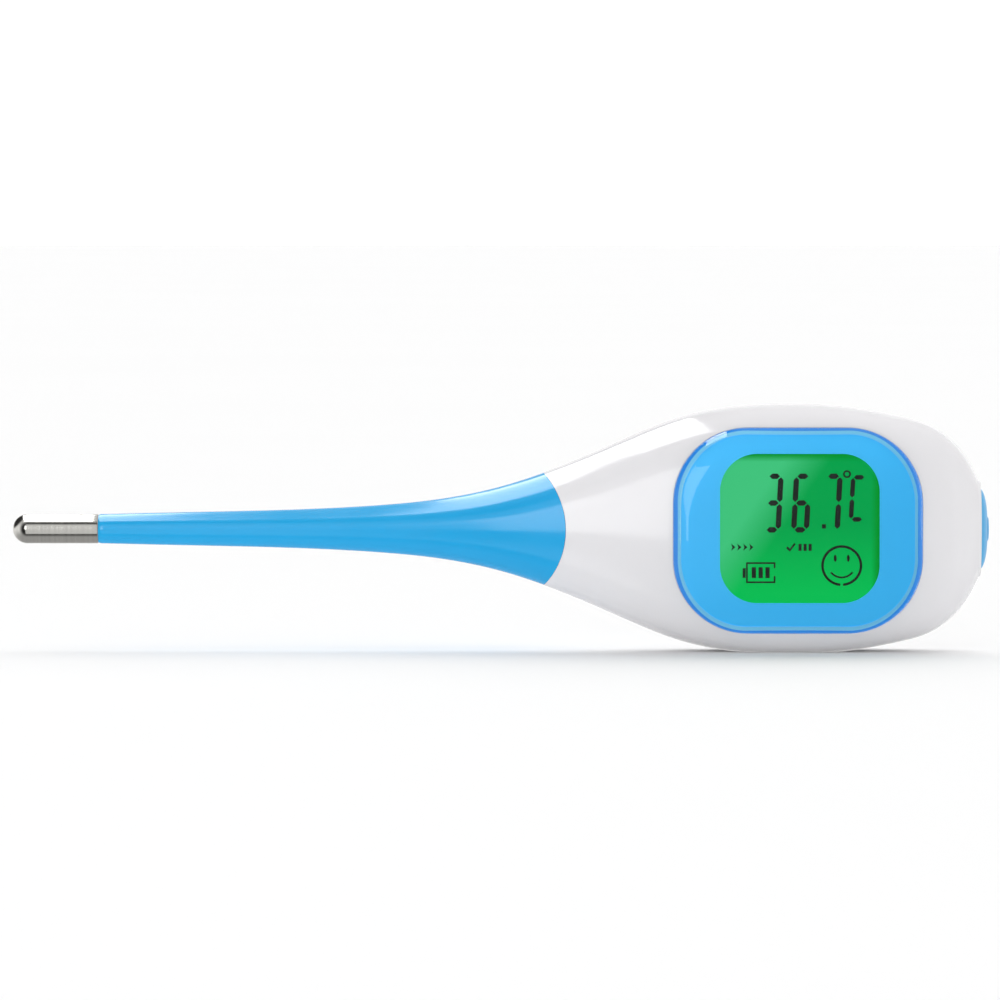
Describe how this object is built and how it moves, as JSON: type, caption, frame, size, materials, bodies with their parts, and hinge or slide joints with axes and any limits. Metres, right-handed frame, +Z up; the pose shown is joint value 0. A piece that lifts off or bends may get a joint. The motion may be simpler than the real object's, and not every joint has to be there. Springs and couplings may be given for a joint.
{
  "type": "digital thermometer",
  "caption": "Stick-type digital clinical thermometer with an oversized lit display in a round-ended white body, a long flexible blue stem with a steel probe cap, and a push button on the end.",
  "frame": {"origin": "centre of the bounding box at its bottom, where the lower long edge of the body stands on the surface", "axes": "+X along the length from the probe tip to the push button, -Y out of the display, +Y out of the battery cover, +Z up as it stands on its lower long edge"},
  "size_m": [0.14, 0.0204, 0.0355],
  "materials": {
    "body_white": "gloss",
    "stem_blue": "gloss",
    "probe_steel": "polished",
    "lens_clear": "polished",
    "border_blue": "gloss",
    "button_blue": "satin",
    "lcd_green": "polished",
    "light_guide_clear": "gloss",
    "led_yellow": "gloss",
    "frame_white": "satin",
    "rubber_black": "matte",
    "elastomer_grey": "matte",
    "board_green": "satin",
    "resin_black": "gloss",
    "component_ceramic": "satin",
    "bare_steel": "satin",
    "spring_brass": "satin",
    "buzzer_brass": "satin",
    "buzzer_ceramic": "satin",
    "switch_black": "satin",
    "switch_red": "satin",
    "lead_red": "satin",
    "lead_grey": "satin",
    "thermistor_glass": "gloss"
  },
  "bodies": {
    "body": {"front_shell": "body_white", "rear_shell": "body_white", "probe_stem": "stem_blue", "display_lens": "lens_clear", "lens_border_film": "border_blue", "lens_gasket": "rubber_black", "lcd_panel": "lcd_green", "light_guide": "light_guide_clear", "backlight_led_upper": "led_yellow", "backlight_led_lower": "led_yellow", "zebra_connector": "elastomer_grey", "lcd_frame": "frame_white", "main_board": "board_green", "controller": "resin_black", "crystal": "bare_steel", "capacitor_a": "component_ceramic", "capacitor_b": "component_ceramic", "resistor_a": "resin_black", "resistor_b": "resin_black", "board_screw_upper": "bare_steel", "board_screw_lower": "bare_steel", "buzzer_disc": "buzzer_brass", "buzzer_ceramic": "buzzer_ceramic", "contact_negative": "spring_brass", "contact_positive": "spring_brass", "switch_body": "switch_black", "neck_core": "frame_white", "sensor_lead_a": "lead_red", "sensor_lead_b": "lead_grey"},
    "key": {"power_button": "button_blue", "switch_plunger": "switch_red"},
    "probe_tip": {"probe_cap": "probe_steel", "tip_potting": "resin_black", "thermistor": "thermistor_glass"},
    "cover": {"battery_cover": "body_white", "cover_seal": "rubber_black"},
    "screw": {"battery_screw": "bare_steel"},
    "cell": {"coin_cell": "bare_steel"}
  },
  "joints": [
    {"name": "button_press", "type": "slide", "parent": "body", "child": "key", "axis": [-1, 0, 0], "range_m": [0, 0.0005], "stiffness_N_per_m": 3000},
    {"name": "stem_flex", "type": "hinge", "parent": "body", "child": "probe_tip", "pos_m": [-0.033, 0, 0.01755], "axis": [0, 0, 1], "range_deg": [-45, 45], "stiffness_Nm_per_rad": 0.02, "deforming": ["probe_stem", "sensor_lead_a", "sensor_lead_b"]},
    {"name": "cover_lift", "type": "slide", "parent": "body", "child": "cover", "axis": [0, 1, 0], "range_m": [0, 0.025]},
    {"name": "cell_lift", "type": "slide", "parent": "body", "child": "cell", "axis": [0, 1, 0], "range_m": [0, 0.0125]},
    {"name": "screw_turn", "type": "hinge", "parent": "cover", "child": "screw", "pos_m": [0.0299, 0.009, 0.01755], "axis": [0, 1, 0], "range_deg": [0, 1080]}
  ],
  "couplings": [
    {"joint": "cell_lift", "follows": "cover_lift", "ratio": 0.5}
  ]
}
